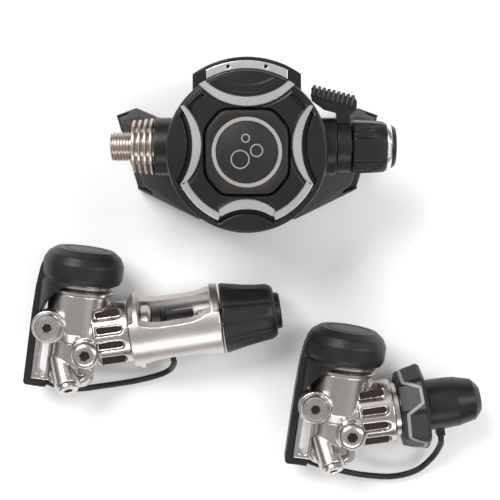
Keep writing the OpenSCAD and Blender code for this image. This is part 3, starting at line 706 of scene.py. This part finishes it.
o = ring_x("clamp_knob_form", [(78.9, 6.2), (78.9, 17.5), (79.1, 18.1), (79.6, 18.5), (80.4, 18.45),
                               (86, 17.7), (92, 16.8), (98, 15.9), (101.5, 15.3), (103.8, 14.7),
                               (105.6, 13.7), (106.6, 12.6), (106.9, 11.4), (106.9, 9.8),
                               (109.2, 9.4), (109.7, 8.8), (109.7, 0.3), (91.2, 0.3), (91.2, 6.2)],
           YI, 256, knob_dimples)
dress(o, "knob_rubber", "clamp_knob", angle=50)
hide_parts("yoke_knob")
soften("yoke_cap", 0.3, 5)
soften("din_cap", 0.35, 6)
o = ring_x("din_stub_form", [(24.5, 3.3), (24.5, 8), (30.6, 8), (30.6, 13.7), (30.9, 14),
                             (33.1, 14), (33.4, 13.7), (33.4, 8), (48.2, 8), (48.2, 11.4),
                             (62.2, 11.4), (63, 10.6), (63, 8.6), (65.6, 8.6), (66, 8.2),
                             (66, 3.3)], DI)
dress(o, "satin_chrome", "din_stage", angle=35)
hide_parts("din_stub")


WHEEL_TURN = 105


def wheel_wave(a, x):
    """The handwheel's eight flats."""
    return facets(a, 8, WHEEL_TURN, 0.945)


WHEEL_SIDE = [(34.2, 19.3), (38, 20.4), (42, 21.4), (45.4, 22.35)]
o = ring_x("handwheel_form", [(33.7, 8.6), (33.7, 18.8), (34.0, 19.2), *WHEEL_SIDE, (45.9, 22.35),
                              (47.2, 21.4), (47.4, 21.0), (47.4, 15.2), (46.6, 14.4), (42, 14.4),
                              (42, 8.6)], DI, 288, wheel_wave)
dress(o, "wheel_rubber", "handwheel", angle=14)
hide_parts("din_wheel")
# a pale line that steps to and fro round the handwheel, along each flat and across each corner
corners = []
for k in range(4):
    c = WHEEL_TURN + 90 * k
    corners += [(c - 20, 36.4), (c + 20, 36.4), (c + 34, 44.5), (c + 56, 44.5)]
corners.append((corners[0][0] + 360, corners[0][1]))
line = []
for (a0, x0), (a1, x1) in zip(corners[:-1], corners[1:]):
    for i in range(16):
        t = i / 16
        line.append((a0 + (a1 - a0) * t, x0 + (x1 - x0) * t))
MEAN_R = 21
# the line's section: how far to its side and how far above the wheel
LINE = ((-0.8, -0.6), (-0.8, 0.1), (-0.55, 0.22), (0.55, 0.22), (0.8, 0.1), (0.8, -0.6))
side_x, side_r = zip(*WHEEL_SIDE)
rings = []
for i, (a, x) in enumerate(line):
    (a0, x0), (a1, x1) = line[i - 1], line[(i + 1) % len(line)]
    da, dx = math.radians((a1 - a0 + 180) % 360 - 180) * MEAN_R, x1 - x0
    w = math.hypot(da, dx)
    ring = []
    for off, up in LINE:
        xx = x - off * da / w
        aa = math.radians(a) + off * dx / w / MEAN_R
        r = np.interp(xx, side_x, side_r) * wheel_wave(aa, xx) + up
        ring.append((xx, r * math.cos(aa), r * math.sin(aa)))
    rings.append(ring)
rings.append(rings[0])
v, f = loft(rings, closed_ends=False)
o = mesh_object("handwheel_line", v, f, DI)
dress(o, "wheel_band", "handwheel", angle=40)

# everything still shown from the frame gets its slot's finish
for name, o in nodes.items():
    o.data.materials.clear()
    o.data.materials.append(MATS[slots[name]])

# ---- floor and light -------------------------------------------------------------------
FLOOR_HALF, FLOOR_Z = 3, -0.0003  # metres
floor_mesh = bpy.data.meshes.new("floor")
floor_mesh.from_pydata([(sx * FLOOR_HALF, sy * FLOOR_HALF, FLOOR_Z)
                        for sx, sy in ((-1, -1), (1, -1), (1, 1), (-1, 1))], [], [(0, 1, 2, 3)])
floor = bpy.data.objects.new("floor", floor_mesh)
bpy.context.scene.collection.objects.link(floor)
fm = bpy.data.materials.new("floor")
fm.use_nodes = True
fb = fm.node_tree.nodes["Principled BSDF"]
fb.inputs["Base Color"].default_value = (0.93, 0.93, 0.93, 1)
fb.inputs["Roughness"].default_value = 0.7
floor_mesh.materials.append(fm)

# even white light, but surfaces mirror a sky: dark low down, a bright band, grey overhead
world = bpy.data.worlds.new("world")
bpy.context.scene.world = world
world.use_nodes = True
nt = world.node_tree
bg = nt.nodes["Background"]
bg.inputs["Color"].default_value = (1, 1, 1, 1)
bg.inputs["Strength"].default_value = 0.5
tc = nt.nodes.new("ShaderNodeTexCoord")
sep = nt.nodes.new("ShaderNodeSeparateXYZ")
nt.links.new(tc.outputs["Generated"], sep.inputs[0])
ramp = nt.nodes.new("ShaderNodeValToRGB")
els = ramp.color_ramp.elements
els[0].position, els[0].color = 0.0, (0.05, 0.045, 0.042, 1)
els[1].position, els[1].color = 1.0, (0.72, 0.72, 0.73, 1)
for pos, val in ((0.18, 0.05), (0.36, 0.25), (0.5, 0.95), (0.66, 0.95), (0.82, 0.6)):
    e = els.new(pos)
    e.color = (val, val * 0.98, val * 0.96, 1)
nt.links.new(sep.outputs[2], ramp.inputs[0])
mirror = nt.nodes.new("ShaderNodeBackground")
mirror.inputs["Strength"].default_value = 0.62
nt.links.new(ramp.outputs[0], mirror.inputs["Color"])
rays = nt.nodes.new("ShaderNodeLightPath")
pick = nt.nodes.new("ShaderNodeMixShader")
nt.links.new(rays.outputs["Is Glossy Ray"], pick.inputs[0])
nt.links.new(bg.outputs[0], pick.inputs[1])
nt.links.new(mirror.outputs[0], pick.inputs[2])
nt.links.new(pick.outputs[0], nt.nodes["World Output"].inputs["Surface"])


def lamp(name, loc, size, power):
    """A rectangular lamp that points at the middle of the set."""
    d = bpy.data.lights.new(name, "AREA")
    d.shape = "RECTANGLE"
    d.size, d.size_y = size
    d.energy = power
    o = bpy.data.objects.new(name, d)
    o.location = loc
    o.rotation_euler = (Vector((0, 0, 0.03)) - Vector(loc)).to_track_quat("-Z", "Y").to_euler()
    bpy.context.scene.collection.objects.link(o)


lamp("key", (-0.45, 0.55, 0.95), (0.6, 0.45), 10)
lamp("fill", (0.75, 0.1, 0.7), (0.35, 0.8), 4)
lamp("front", (0.0, -0.8, 0.6), (0.9, 0.3), 3)

view = bpy.context.scene.view_settings
view.view_transform = "Standard"
view.exposure = 0.0
